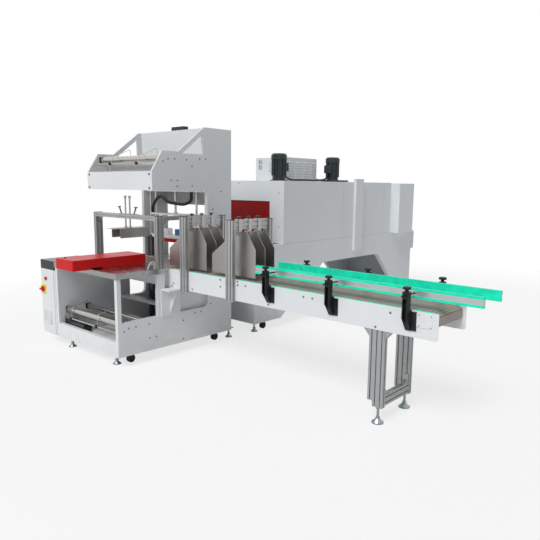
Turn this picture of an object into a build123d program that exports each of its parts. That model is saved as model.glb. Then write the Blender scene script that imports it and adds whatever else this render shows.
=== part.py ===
from build123d import *
import math
import os

# Shrink wrapping line: a side-fed sleeve wrapping machine, its laned infeed conveyor
# and the hot-air shrink tunnel behind it, in millimetres.
# X runs with the packs, from the film side through the sealing station into the tunnel.
# The infeed conveyor runs out along -Y. Z is up, and the floor is at z = 0.
# The model is drawn from the wrapping machine's near front corner, then moved so that
# its origin lies under the middle of the whole line, on the floor.

# Wrapping machine base
base_len = 1390.0
base_wid = 1100.0
base_z0 = 100.0
frame_t = 40.0
sill_top = 240.0
panel_top = 412.0
tower_len = 330.0
inner_corner_r = 60.0
mid_post_x0 = 440.0
mid_post_wid = 80.0
far_wall_end = 845.0
sheet_t = 4.0
tray_x0 = 150.0
tray_len = 420.0
tray_wid = 720.0
tray_z = 200.0
cross_bar_t = 28.0
cross_bar_x = [700.0, 750.0]

# Table and pusher cover
table_top = 860.0
table_over = 10.0
table_end = 550.0
table_rim = 49.0
table_corner_r = 45.0
cover_x0 = -195.0
cover_x1 = 585.0
cover_y0 = 385.0
cover_wid = 305.0
cover_ht = 96.0
cover_r = 6.0
cover_lift = 14.0
cover_foot_x = 105.0

# Head and tower
head_x0 = 398.0
head_z0 = 1583.0
head_front_ht = 174.0
head_slope_x = 519.0
head_ht = 361.0
head_flat_end = 701.0
tower_rise = 246.0
tower_slope_x = 1025.0
head_plate_t = 20.0
hole_in = 52.0
hole_low = 15.0
hole_drop = 70.0
inner_panel_x = 640.0
inner_panel_ht = 247.0
panel_slot_len = 60.0
panel_slot_ht = 8.0
top_box_len = 60.0
top_box_wid = 200.0
top_box_ht = 42.0
top_box_y = 400.0
rear_pass_top = 1420.0

# Film rollers, and the fixed bars with wire hoops that keep the film straight
front_roller_at = (105.0, 372.0)
back_roller_at = (325.0, 372.0)
head_roller_at = (560.0, 1880.0)
roller_r = 35.0
rear_roller_r = 24.0
head_roller_r = 32.0
roller_end = 30.0
pin_r = 8.0
pin_fit = 0.05
bearing_t = 12.0
bearing_edge = 20.0
hoop_bar_r = 8.0
hoop_r = 3.0
collar = 26.0
bay_bar_at = (58.0, 300.0)
bay_hoop_y = [437.0, 910.0]
bay_hoop = [(0, 0), (0, 100), (10, 112), (165, 158), (179, 155), (182, 104)]
head_bar_at = (470.0, 1835.0)
head_hoop_y = [318.0, 769.0]
head_hoop = [(0, 0), (22, 58), (40, 74), (214, 148), (230, 142), (232, 82)]
motor_y0 = 700.0
motor_len = 260.0
motor_r = 48.0
motor_at = (105.0, 232.0)
gearbox = 84.0

# Gantry on the table, made of slotted aluminium
prof = 40.0
slot_wid = 8.0
slot_deep = 10.0
web_size = 62.0
web_t = 28.0
gantry_top = 1345.0
gantry_inset = 20.0

# Product press plate
press_x0 = 404.0
press_len = 340.0
press_tongue = 60.0
press_y0 = 540.0
press_wid = 150.0
press_z0 = 1110.0
press_ht = 95.0
press_sheet = 3.0
press_rod_r = 8.0
press_rod_x = 545.0
press_rod_gap = 75.0
press_rod_top = 1500.0
press_up = 60.0
press_down = 100.0
clamp_len = 300.0
clamp_wid = 50.0
lever_out = 33.0
lever_ht = 60.0

# Sealing station
seal_x0 = 1085.0
seal_wid = 90.0
seal_shift = 39.0
guide_half = 343.0
guide_r = 12.0
bar_half = 370.0
bar_z0 = 1060.0
bar_ht = 40.0
bar_lip = 20.0
seal_drop = 140.0
skirt_ht = 40.0
skirt_half = 290.0
skirt_sheet = 6.0
cross_z0 = 1310.0
cross_t = 20.0
cross_over = 48.0
hanger_y = [370.0, 810.0]
jaw_z0 = 805.0
jaw_ht = 40.0
cyl_len = 300.0
cyl_wid = 70.0
small_cyl_y = [500.0, 690.0]
small_cyl = 64.0
column_wid = 70.0
column_gap = 10.0
column_top = 1065.0
column_rod_r = 10.0
bridge_over = 40.0
bridge_lip = 20.0

# Control cabinet beside the base
cab_x0 = -5.0
cab_len = 420.0
cab_wid = 290.0
cab_top = 770.0
cap_ht = 92.0
door_t = 3.0
door_in = 26.0
switch_in = 55.0
switch_z = 560.0
switch_r = 30.0
switch_plate = 90.0
pilot_in = 110.0
pilot_z = 674.0
grille_in = 39.0
grille_wid = 158.0
grille_z0 = 198.0
grille_t = 6.0

# Infeed conveyor
belt_z = 850.0
conv_x0 = 582.0
conv_x1 = 1012.0
conv_y0 = -2700.0
conv_end_gap = 20.0
conv_ht = 180.0
conv_t = 4.0
conv_corner_r = 18.0
tie_wid = 40.0
tie_first = 400.0
tie_pitch = 800.0
end_cover = [40.0, 220.0, 745.0, 835.0]
belt_gap = 8.0
belt_t = 12.0
belt_drop = 4.0
belt_roll_r = 48.0
belt_end_gap = 15.0
link_pitch = 63.5
link_notch = 2.5
rail_y1 = -1060.0
rail_y0 = -2950.0
rail_z0 = 916.0
rail_ht = 70.0
rail_t = 26.0
rail_core_ht = 36.0
rail_core_t = 16.0
rail_in = 58.0
strip_ht = 5.0
bracket_y = [-1270.0, -1880.0, -2495.0]
bracket_out = 68.0
bracket_t = 40.0
bracket_head = 42.0
bracket_z0 = 712.0
bracket_top = 975.0
rod_out = 42.0
rod_r = 6.0
knob_r = 28.0
leg_y = -2281.0
leg_z0 = 116.0
leg_rear_up = 40.0
leg_cross_z = 128.0
gusset_len = 54.0
gusset_ht = 58.0

# Lane gantries and plates
lane_post_top = 1349.0
lane_post_drop = 9.0
lane_y = [-240.0, -845.0]
lane_x = [650.0, 768.0, 886.0]
lane_plate_t = 4.0
lane_gap = 18.0
lane_plate_top = 1250.0
lane_out = 205.0
lane_in = 325.0
lane_shoulder_out = 1108.0
lane_shoulder_in = 1035.0
lane_flat = [-105.0, 30.0]
clamp_t = 6.0
clamp_plate_wid = 40.0

# Feet and casters
foot_r = 38.0
foot_ht = 34.0
stem_r = 9.0
foot_in = 60.0
foot_x_in = 75.0
foot_y_in = 150.0
rear_ledge = 75.0
wheel_r = 38.0
wheel_t = 32.0
wheel_x_in = 175.0
wheel_y_in = 78.0
wheel_from_foot = 140.0

# Shrink tunnel
tun_x0 = 2205.0
tun_x1 = 4626.0
tun_wid = 1150.0
tun_z0 = 968.0
tun_top = 1694.0
pass_wid = 716.0
pass_z1 = 1456.0
hood_len = 423.0
hood_over = 143.0
hood_top = 1686.0
deck_x0 = 1727.0
deck_x1 = 5384.0
deck_z0 = 682.0
deck_t = 60.0
deck_corner_r = 45.0
deck_tie = 60.0
deck_tie_x = [1800.0, 3000.0, 4250.0, 5200.0]
ped_z0 = 100.0
ped_wall = 60.0
ped_roof = 25.0
front_ped_toe = 448.0
front_ped_slope = 817.0
rear_ped_heel = 89.0
rear_ped_toe = 419.0
rear_ped_slope = 570.0
end_angle = 12.0
curtain_t = 3.0
drum_r = 48.0
drum_end_gap = 20.0
tunnel_belt_t = 8.0
duct_x0 = 3640.0
duct_len = 180.0
duct_out = 40.0
duct_z0 = 782.0
duct_top = 1736.0
ctrl_x0 = 2622.0
ctrl_len = 613.0
ctrl_y0 = 300.0
ctrl_wid = 510.0
ctrl_ht = 290.0
louvre_rows = 7
louvre_cols = 4
louvre_len = 95.0
louvre_ht = 14.0
louvre_out = 8.0
dial = 48.0
fan_x = [2360.0, 3440.0]
fan_y = 190.0
fan_r = 90.0
fan_root_r = 78.0
fan_fins = 12
fan_neck_ht = 50.0
fan_body_ht = 185.0
fan_cowl_ht = 70.0
box_side = 60.0
hose_r = 11.0
bundle_r = 17.0
hose_sides = 5

# Worked out from the sizes above
near_in = frame_t
far_in = base_wid - frame_t
mid_y = base_wid / 2
tower_x0 = base_len - tower_len
head_front_top = head_z0 + head_front_ht
head_top = head_z0 + head_ht
tower_top = head_top + tower_rise
table_under = table_top - sheet_t
cab_y1 = base_wid + cab_wid
switch_y = cab_y1 - switch_in
door_x = cab_x0 - door_t
conv_y1 = far_in - conv_end_gap
conv_z0 = belt_z - conv_ht
belt_x0 = conv_x0 + conv_t + belt_gap
belt_x1 = conv_x1 - conv_t - belt_gap
rod_z_at = rail_z0 + rail_ht / 2
seal_mid = mid_y + seal_shift
seal_xc = seal_x0 + seal_wid / 2
tun_y0 = mid_y - tun_wid / 2
pass_y0 = mid_y - pass_wid / 2
pass_y1 = pass_y0 + pass_wid
hood_x1 = tun_x1 + hood_len
bridge_y0 = pass_y0 + bridge_over / 2
bridge_y1 = pass_y1 - bridge_over / 2


def slab(x0, x1, y0, y1, z0, z1):
    """A block between two corners."""
    size = Box(x1 - x0, y1 - y0, z1 - z0)
    return Pos((x0 + x1) / 2, (y0 + y1) / 2, (z0 + z1) / 2) * size


def rod_x(x0, x1, y, z, r):
    """A round bar along X."""
    return Pos((x0 + x1) / 2, y, z) * Rot(0, 90, 0) * Cylinder(r, x1 - x0)


def rod_y(x, y0, y1, z, r):
    """A round bar along Y."""
    return Pos(x, (y0 + y1) / 2, z) * Rot(90, 0, 0) * Cylinder(r, y1 - y0)


def rod_z(x, y, z0, z1, r):
    """A round bar along Z."""
    return Pos(x, y, (z0 + z1) / 2) * Cylinder(r, z1 - z0)


def prism_x(x0, x1, y, z, r, sides):
    """A many-sided bar along X."""
    return Pos(x0, y, z) * extrude(Plane.YZ * RegularPolygon(r, sides), amount=x1 - x0)


def prism_y(x, y0, y1, z, r, sides):
    """A many-sided bar along Y."""
    return Pos(x, y0, z) * extrude(Plane.XZ * RegularPolygon(r, sides), amount=y0 - y1)


def prism_z(x, y, z0, z1, r, sides, taper=0):
    """A many-sided bar along Z, drawn in towards its far end by a taper in degrees."""
    return Pos(x, y, z0) * extrude(RegularPolygon(r, sides), amount=z1 - z0, taper=taper)


def plate_xz(points, y0, y1):
    """A plate cut to an outline in X and Z, between two Y values."""
    face = make_face(Polyline(*[(x, 0, z) for x, z in points], close=True))
    return Pos(0, y0, 0) * extrude(face, amount=y1 - y0, dir=(0, 1, 0))


def plate_yz(points, x0, x1):
    """A plate cut to an outline in Y and Z, between two X values."""
    face = make_face(Polyline(*[(0, y, z) for y, z in points], close=True))
    return Pos(x0, 0, 0) * extrude(face, amount=x1 - x0, dir=(1, 0, 0))


def fuse(shapes):
    """Joins a list of touching shapes into one solid."""
    whole = shapes[0]
    for s in shapes[1:]:
        whole = whole + s
    return whole


def slotted(wid, dep):
    """Cross-section of a slotted profile: one undercut slot to each 40 mm of side."""
    turns = [(1, 0), (0, 1), (-1, 0), (0, -1)]
    corners = [(-wid / 2, -dep / 2), (wid / 2, -dep / 2), (wid / 2, dep / 2), (-wid / 2, dep / 2)]
    half = slot_wid / 2
    outline = []
    for k, (x, y) in enumerate(corners):
        ex, ey = turns[k]
        side = wid if k % 2 == 0 else dep
        count = max(1, round(side / prof))
        outline.append((x, y))
        for n in range(count):
            mid = (n + 0.5) * side / count
            for along, deep in ((-half, 0), (-slot_wid, slot_deep), (slot_wid, slot_deep), (half, 0)):
                run = mid + along
                outline.append((x + ex * run - ey * deep, y + ey * run + ex * deep))
    return make_face(Polyline(*outline, close=True))


def profile_x(x0, x1, y, z, wid, ht):
    """A slotted profile along X, centred on y and z."""
    return Pos(x0, y, z) * extrude(Plane.YZ * slotted(wid, ht), amount=x1 - x0)


def profile_y(x, y0, y1, z, wid, ht):
    """A slotted profile along Y, centred on x and z."""
    return Pos(x, y0, z) * extrude(Plane.XZ * slotted(wid, ht), amount=y0 - y1)


def profile_z(x, y, z0, z1, wid, dep):
    """A slotted profile along Z, centred on x and y."""
    return Pos(x, y, z0) * extrude(slotted(wid, dep), amount=z1 - z0)


def web_xz(x, z, sx, sz, y):
    """Cast corner bracket in X and Z with a hollow curve, opening towards sx and sz."""
    xe, ze = x + sx * web_size, z + sz * web_size
    block = slab(min(x, xe), max(x, xe), y - web_t / 2, y + web_t / 2, min(z, ze), max(z, ze))
    return block - prism_y(xe, y - web_t, y + web_t, ze, web_size - slot_wid, 24)


def web_yz(y, z, sy, sz, x):
    """Cast corner bracket in Y and Z with a hollow curve, opening towards sy and sz."""
    ye, ze = y + sy * web_size, z + sz * web_size
    block = slab(x - web_t / 2, x + web_t / 2, min(y, ye), max(y, ye), min(z, ze), max(z, ze))
    return block - prism_x(x - web_t, x + web_t, ye, ze, web_size - slot_wid, 24)


pieces = {}


def keep(name, shape):
    """Stores one named sub-part, or several like solids that do not touch."""
    items = shape if isinstance(shape, (list, tuple)) else [shape]
    pieces.setdefault(name, []).extend(s for item in items for s in item.solids())


# Base of the wrapping machine
def base_frame():
    """Front and rear sills, floor sheet, film tray and the two bars behind the film bay."""
    sill = slab(0, frame_t, near_in, far_in, base_z0, sill_top)
    rear = slab(base_len - frame_t, base_len, near_in, far_in, base_z0, sill_top)
    floor = slab(frame_t, base_len - frame_t, near_in, far_in, base_z0, base_z0 + sheet_t)
    x1 = tray_x0 + tray_len
    y1 = near_in + tray_wid
    tray = slab(tray_x0, x1, near_in, y1, tray_z - sheet_t, tray_z)
    lip = slab(tray_x0, tray_x0 + sheet_t, near_in, y1, base_z0, tray_z)
    end = slab(x1 - sheet_t, x1, near_in, y1, base_z0, tray_z)
    ledges = [slab(base_len, base_len + rear_ledge, y - foot_r, y + foot_r, base_z0, base_z0 + 8)
              for y in (wheel_y_in, base_wid - wheel_y_in)]
    ties = [slab(base_len - frame_t, base_len, y - foot_r, y + foot_r, base_z0, base_z0 + 8)
            for y in (wheel_y_in, base_wid - wheel_y_in)]
    return fuse([sill, rear, floor, tray, lip, end] + ledges + ties)


def posts():
    """Posts and rails that carry the table, with the grey inner wall under the conveyor."""
    z1 = table_under
    z0 = panel_top
    top = table_top - table_rim
    x1 = mid_post_x0 + mid_post_wid
    out = [slab(0, frame_t, 0, frame_t, z0, z1)]
    out.append(slab(mid_post_x0, x1, 0, frame_t, z0, z1))
    out.append(slab(frame_t, mid_post_x0, 0, frame_t, top, z1))
    out.append(slab(0, frame_t, near_in, far_in, top, z1))
    out.append(slab(mid_post_x0, x1, near_in, far_in, top, z1))
    wall_z0 = panel_top - cross_bar_t
    out.append(slab(mid_post_x0, tower_x0, near_in, near_in + sheet_t, wall_z0, conv_z0))
    for x in cross_bar_x:
        out.append(slab(x, x + cross_bar_t, near_in + sheet_t, far_in, panel_top, panel_top + cross_bar_t))
    return fuse(out)


def side_plate(y0, y1, wall_to=None):
    """Side of base and tower in one sheet, with a rounded inner corner."""
    rim = table_top - table_rim
    pts = [(0, base_z0), (base_len, base_z0), (base_len, tower_top), (tower_x0, tower_top)]
    pts += [(tower_x0, panel_top)]
    if wall_to:
        pts += [(wall_to, panel_top), (wall_to, rim), (0, rim)]
    else:
        pts += [(0, panel_top)]
    body = plate_xz(pts, y0, y1)
    corner = [e for e in body.edges().filter_by(Axis.Y)
              if abs(e.center().X - tower_x0) < 0.1 and abs(e.center().Z - panel_top) < 0.1]
    return fillet(corner, inner_corner_r)


def tower_shell():
    """Front wall, roof and upper rear wall between the tower's sides."""
    front = slab(tower_x0, tower_x0 + sheet_t, near_in, far_in, head_z0, tower_top)
    roof = slab(tower_x0, base_len, near_in, far_in, tower_top - sheet_t, tower_top)
    rear = slab(base_len - sheet_t, base_len, near_in, far_in, rear_pass_top, tower_top)
    return fuse([front, roof, rear])


def rear_wall():
    """Lower rear wall under the passage."""
    return slab(base_len - sheet_t, base_len, near_in, far_in, sill_top, belt_z - bridge_lip)


def table():
    """Stainless table with a turned-down rim and one rounded corner."""
    rim = table_top - table_rim
    body = slab(-table_over, table_end, -table_over, base_wid, rim, table_top)
    corner = body.edges().filter_by(Axis.Z).sort_by(Axis.X)[-2:].sort_by(Axis.Y)[0]
    body = fillet(corner, table_corner_r)
    inner = offset(body.faces().sort_by(Axis.Z)[0], amount=-sheet_t)
    return body - extrude(inner, amount=table_rim - sheet_t, dir=(0, 0, 1))


def cover():
    """Red sheet cover over the pusher drive, cut away under its front half, with a lifting eye."""
    z0 = table_top
    z1 = z0 + cover_ht
    y1 = cover_y0 + cover_wid
    box = slab(cover_x0, cover_x1, cover_y0, y1, z0, z1)
    box = fillet(box.edges().filter_by(Axis.Z), cover_r)
    gap = slab(-table_over - 1, cover_foot_x, cover_y0 - 1, y1 + 1, z0 - 1, z0 + cover_lift)
    bolt = prism_z(cover_x0 + 60, cover_y0 + cover_wid - 60, z1, z1 + 10, 9, 6)
    return box - gap + bolt


def gantry():
    """Two posts, a beam and a stay of slotted aluminium, with cast corner brackets."""
    x0, x1 = mid_post_x0, mid_post_x0 + mid_post_wid
    xc = (x0 + x1) / 2
    y1 = base_wid - gantry_inset
    half = prof / 2
    under = gantry_top - prof
    parts = [profile_z(xc, half, table_top, gantry_top, mid_post_wid, prof)]
    parts.append(profile_z(xc, y1 - half, table_top, gantry_top, mid_post_wid, prof))
    parts.append(profile_y(xc, prof, y1 - prof, gantry_top - half, mid_post_wid, prof))
    parts.append(profile_x(x1, tower_x0, half, gantry_top - half, prof, prof))
    parts.append(web_yz(prof, under, 1, -1, xc))
    parts.append(web_yz(y1 - prof, under, -1, -1, xc))
    parts.append(web_xz(x1, under, 1, -1, half))
    return fuse(parts)


# Film rollers
def roller(at, r, y0, y1):
    """A roller with a thinner spindle at each end."""
    x, z = at
    body = rod_y(x, y0 + roller_end, y1 - roller_end, z, r)
    return body + rod_y(x, y0 + 2, y1 - 2, z, pin_r)


def bearings(at, y0, y1):
    """Two flat bearing blocks on the side walls, bored for the spindle."""
    x, z = at
    half = pin_r + bearing_edge
    out = []
    for a, b in ((y0, y0 + bearing_t), (y1 - bearing_t, y1)):
        block = slab(x - half, x + half, a, b, z - half, z + half)
        out.append(block - rod_y(x, a - 1, b + 1, z, pin_r + pin_fit))
    return out


def hoop_bar(at, hoop, hoop_y, y0, y1):
    """A fixed cross bar with bent wire hoops that stand over the film roller."""
    x, z = at
    parts = [prism_y(x, y0, y1, z, hoop_bar_r, 8)]
    for y in hoop_y:
        path = Polyline(*[(x + a, y, z + b) for a, b in hoop])
        section = Plane(path @ 0, x_dir=(0, 1, 0), z_dir=path % 0) * RegularPolygon(hoop_r, 6)
        parts.append(sweep(section, path=path, transition=Transition.RIGHT))
    return fuse(parts)


def collars(at, hoop_y):
    """Black set collars that clamp the hoops to their bar."""
    x, z = at
    out = []
    for y in hoop_y:
        block = slab(x - collar / 2, x + collar / 2, y + hoop_r, y + hoop_r + collar, z - collar / 2, z + collar / 2)
        out.append(block - prism_y(x, y, y + 2 * collar, z, hoop_bar_r, 8))
    return out


def film_drive():
    """Film motor with its gearbox, standing on the floor sheet behind the front sill."""
    x, z = motor_at
    y1 = motor_y0 + motor_len
    half = gearbox / 2
    body = prism_y(x, motor_y0, y1, z, motor_r, 20)
    hub = prism_y(x, motor_y0 - 10, motor_y0, z, motor_r / 2, 16)
    box = slab(x - half, x + half, y1, far_in, z - half, z + half)
    foot = slab(x - half, x + half, motor_y0 + 30, far_in, base_z0 + sheet_t, z - motor_r / 2)
    return fuse([body, hub, box, foot])


def build_wrapper():
    """The wrapping machine's base, table, gantry and film bay."""
    keep("base_frame", base_frame())
    keep("table_posts", posts())
    keep("base_sides", side_plate(0, near_in))
    keep("base_sides", side_plate(far_in, base_wid, far_wall_end))
    keep("tower_shell", [tower_shell(), rear_wall()])
    keep("table_top", table())
    keep("pusher_cover", cover())
    keep("table_gantry", gantry())
    keep("film_roller_front", roller(front_roller_at, roller_r, near_in, far_in))
    keep("film_roller_back", roller(back_roller_at, rear_roller_r, near_in, far_in))
    keep("film_hoops", hoop_bar(bay_bar_at, bay_hoop, bay_hoop_y, near_in, far_in))
    keep("roller_brackets", bearings(front_roller_at, near_in, far_in))
    keep("roller_brackets", bearings(back_roller_at, near_in, far_in))
    keep("roller_brackets", collars(bay_bar_at, bay_hoop_y))
    keep("film_motor", film_drive())


def build_head():
    """Head side plates with their triangle, front and inner panels, roller and hoops."""
    pts = [(head_x0, head_z0), (head_x0, head_front_top), (head_slope_x, head_top)]
    pts += [(head_flat_end, head_top), (tower_slope_x, tower_top)]
    pts += [(tower_x0, tower_top), (tower_x0, head_z0)]
    low = head_top - hole_low
    hole_x1 = tower_slope_x - head_plate_t
    hole = [(head_flat_end + hole_in, low), (hole_x1, tower_top - hole_drop), (hole_x1, low)]
    out = []
    for y in (0, base_wid - head_plate_t):
        body = plate_xz(pts, y, y + head_plate_t)
        out.append(body - plate_xz(hole, y - 1, y + head_plate_t + 1))
    keep("head_sides", out)
    y0, y1 = head_plate_t, base_wid - head_plate_t
    front = slab(head_x0, head_x0 + sheet_t, y0, y1, head_z0, head_front_top)
    x0, x1 = inner_panel_x, inner_panel_x + sheet_t
    inner = slab(x0, x1, y0, y1, head_z0, head_z0 + inner_panel_ht)
    ym = head_hoop_y[1]
    z = head_z0 + inner_panel_ht - bearing_edge
    inner = inner - slab(x0 - 1, x1 + 1, ym - panel_slot_len, ym, z - panel_slot_ht, z)
    keep("head_panels", [front, inner])
    keep("head_roller", roller(head_roller_at, head_roller_r, y0, y1))
    keep("roller_brackets", bearings(head_roller_at, y0, y1))
    keep("film_hoops", hoop_bar(head_bar_at, head_hoop, head_hoop_y, y0, y1))
    keep("roller_brackets", collars(head_bar_at, head_hoop_y))


def build_press():
    """Hold-down plate on two rods, held in a clamp block behind the gantry beam."""
    x0, x1 = press_x0, press_x0 + press_len
    y0, y1 = press_y0, press_y0 + press_wid
    z1 = press_z0 + press_ht
    t = press_sheet
    body = slab(x0, x1, y0, y1, press_z0, z1)
    body = body - slab(x0 - 1, x1 + 1, y0 + t, y1 - t, press_z0 - 1, z1 - t)
    body = body + slab(x0 - press_tongue, x0, y0, y1, z1 - t, z1)
    yc = (y0 + y1) / 2
    rod_at = [yc - press_rod_gap / 2, yc + press_rod_gap / 2]
    parts = [body]
    for y in rod_at:
        parts.append(rod_z(press_rod_x, y, z1 - t, press_rod_top, press_rod_r))
        parts.append(prism_z(press_rod_x, y, press_rod_top, press_rod_top + 24, 13, 10))
        parts.append(prism_z(press_rod_x, y, z1, z1 + 14, 15, 6))
    keep("press_plate", fuse(parts))
    bx = mid_post_x0 + mid_post_wid
    under = gantry_top - prof
    half = clamp_len / 2
    block = slab(bx, bx + clamp_wid, yc - half, yc + half, under, gantry_top)
    for y in rod_at:
        block = block - rod_z(press_rod_x, y, under - 1, gantry_top + 1, press_rod_r + pin_fit)
    for s in (-1, 1):
        ya = yc + s * half * 0.73
        yb = ya + s * lever_out
        za, zb = gantry_top, gantry_top + lever_ht
        block = block + plate_yz([(ya - 5, za), (ya + 5, za), (yb + 5, zb), (yb - 5, zb)], bx + 20, bx + 30)
        block = block + slab(bx + 12, bx + 38, yb - 12, yb + 12, zb, zb + 10)
    keep("hand_clamps", block)


def seal_columns(y0, y1):
    """Two dark guide columns with their caps and chromed rods, one inside each side wall."""
    out = []
    for s, wall in ((1, y0), (-1, y1)):
        ya = wall + s * column_gap
        yb = ya + s * column_wid
        a, b = min(ya, yb), max(ya, yb)
        x0, x1 = seal_xc - column_wid / 2, seal_xc + column_wid / 2
        out.append(slab(x0, x1, a, b, base_z0 + sheet_t, column_top))
        edge = column_gap / 2
        out.append(slab(x0 - 20, x1 + 20, a - edge, b + edge, column_top, column_top + sheet_t))
        out.append(prism_z(seal_xc, ya + s * column_wid / 4, column_top, head_z0 - cross_t, column_rod_r, 12))
    return out


def build_seal_station():
    """Guides, air cylinder, moving carriage with its sealing bar, and the red skirt."""
    y0, y1 = near_in, far_in
    x0, x1 = seal_x0, seal_x0 + seal_wid
    xc, ym = seal_xc, seal_mid
    guide_y = [ym - guide_half, ym + guide_half]
    top = head_z0 + cyl_len
    half = cyl_wid / 2
    jaw = slab(x0, x1, y0, y1, jaw_z0, jaw_z0 + jaw_ht)
    beam = slab(x0, x1, y0, y1, head_z0 - cross_t, head_z0)
    cyl = slab(xc - half, xc + half, ym - half, ym + half, head_z0, top)
    bore = rod_z(xc, ym, head_z0 - cross_t - 1, top - pin_r, guide_r + pin_fit)
    rods = [rod_z(xc, y, jaw_z0 + jaw_ht, head_z0 - cross_t, guide_r) for y in guide_y]
    fixed = fuse([jaw, beam, cyl]) - bore
    keep("seal_guides", fuse([fixed] + rods + seal_columns(y0, y1)))
    z0, z1 = bar_z0, bar_z0 + bar_ht
    b0, b1 = ym - bar_half, ym + bar_half
    bar = slab(x0, x1, b0, b1, z0, z1)
    lid = slab(x0 - bar_lip, x1 + bar_lip, b0, b1, z1 - pin_r, z1)
    cross = slab(x0, x1, guide_y[0] - cross_over, guide_y[1] + cross_over, cross_z0, cross_z0 + cross_t)
    hang = [slab(x0 + 10, x0 + 30, y - 30, y + 30, z1, cross_z0) for y in hanger_y]
    cells = [slab(xc - half, xc + half, y, y + small_cyl, z1, z1 + small_cyl) for y in small_cyl_y]
    carriage = fuse([bar, lid, cross] + hang + cells)
    for y in guide_y:
        carriage = carriage - rod_z(xc, y, z0 - 1, cross_z0 + cross_t + 1, guide_r + pin_fit)
    piston = rod_z(xc, ym, cross_z0 + cross_t, top - 2 * pin_r, guide_r)
    flange = prism_z(xc, ym, cross_z0 + cross_t, cross_z0 + cross_t + 12, 2 * guide_r, 12)
    keep("seal_bar", fuse([carriage, piston, flange]))
    s0, s1 = ym - skirt_half, ym + skirt_half
    out = bar_lip
    base = z0 - skirt_ht
    outer = [(x0 - out, z0), (x0, base), (x1, base), (x1 + out, z0)]
    t = skirt_sheet
    inner = [(x0 - out + t, z0 - t), (x0 + t, base - 1), (x1 - t, base - 1), (x1 + out - t, z0 - t)]
    keep("seal_skirt", plate_xz(outer, s0, s1) - plate_xz(inner, s0 - 1, s1 + 1))


def build_bridges():
    """Stainless transfer sheets from the infeed belt through the sealer to the tunnel."""
    x1 = seal_x0 + seal_wid
    b0, b1 = bridge_y0, bridge_y1
    keep("table_top", slab(conv_x1, seal_x0, b0, b1, belt_z - sheet_t, belt_z))
    end = deck_x0 + end_angle
    out = slab(x1, end, b0, b1, belt_z - bridge_lip, belt_z)
    hollow = slab(x1 - 1, end + 1, b0 + sheet_t, b1 - sheet_t, belt_z - 2 * bridge_lip, belt_z - sheet_t)
    keep("table_top", out - hollow)


def build_cabinet():
    """Control cabinet with its door, black cap, main switch, pilot light and grille."""
    x0, x1 = cab_x0, cab_x0 + cab_len
    y0, y1 = base_wid, cab_y1
    body = slab(x0, x1, y0, y1, base_z0, cab_top)
    door = slab(door_x, x0, y0 + door_in, y1 - door_t, base_z0 + door_t, cab_top - door_t)
    keep("cabinet", body + door)
    box_x = tower_x0 + frame_t
    top = slab(box_x, box_x + top_box_len, top_box_y, top_box_y + top_box_wid,
               tower_top, tower_top + top_box_ht)
    keep("black_caps", [slab(x0, x1, y0, y1, cab_top, cab_top + cap_ht), top])
    yc, z, h = switch_y, switch_z, switch_plate / 2
    plate = slab(door_x - 8, door_x, yc - h, yc + h, z - h, z + h)
    hole = rod_x(door_x - 9, door_x + 1, yc, z, pin_r + pin_fit)
    pilot = prism_x(door_x - 14, door_x, y1 - pilot_in, pilot_z, 18, 16)
    keep("cabinet_fittings", [plate - hole, pilot, grille(door_x)])
    knob = prism_x(door_x - 22, door_x - 8.3, yc, z, switch_r, 20)
    grip = slab(door_x - 40, door_x - 22, yc - switch_r * 0.9, yc + switch_r * 0.9, z - 9, z + 9)
    spindle = rod_x(door_x - 10, door_x, yc, z, pin_r)
    keep("switch_knob", fuse([knob, grip, spindle]))


def grille(x):
    """Square air grille with slanted slots, set on a wall at x."""
    y1 = cab_y1 - grille_in
    y0 = y1 - grille_wid
    z0, z1 = grille_z0, grille_z0 + grille_wid * 0.88
    body = slab(x - grille_t, x, y0, y1, z0, z1)
    step = (z1 - z0 - 30) / 6
    for n in range(6):
        z = z0 + 18 + n * step
        body = body - slab(x - grille_t - 1, x - 2, y0 + 15, y1 - 15, z, z + step / 2)
    return body


# Infeed conveyor
def belt_loop(length, r_out, r_in, pitch):
    """Section of a link belt loop: a hinge notch at each link on top and round both ends."""
    half = length / 2 - r_out
    count = round(2 * half / pitch)
    turn = math.pi / round(math.pi * r_out / pitch)
    notch = link_notch
    outer = []
    for n in range(count + 1):
        u = -half + n * 2 * half / count
        outer += [(u - notch / 2, r_out), (u, r_out - notch), (u + notch / 2, r_out)]
    ends = [a * turn for a in range(1, round(math.pi / turn))]
    side = notch / 2 / r_out
    for a in ends:
        for da, r in ((-side, r_out), (0, r_out - notch), (side, r_out)):
            outer.append((half + r * math.sin(a + da), r * math.cos(a + da)))
    outer += [(half, -r_out), (-half, -r_out)]
    for a in reversed(ends):
        for da, r in ((side, r_out), (0, r_out - notch), (-side, r_out)):
            outer.append((-half - r * math.sin(a + da), r * math.cos(a + da)))
    steps = range(13)
    inner = [(half + r_in * math.sin(k * math.pi / 12), r_in * math.cos(k * math.pi / 12)) for k in steps]
    inner += [(-u, -v) for u, v in inner]
    return make_face(Polyline(*outer, close=True)) - make_face(Polyline(*inner, close=True))


def shaft_drum(x0, x1, y, z, end_x0, end_x1):
    """End drum of a belt along X, with its thinner shaft."""
    return prism_x(x0, x1, y, z, belt_roll_r, 24) + prism_x(end_x0, end_x1, y, z, 12, 12)


def cover_plate():
    """Flat cover over the shaft end, on the near side plate."""
    ya, yb, za, zb = end_cover
    return slab(conv_x0 - conv_t, conv_x0, conv_y0 + ya, conv_y0 + yb, za, zb)


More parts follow.
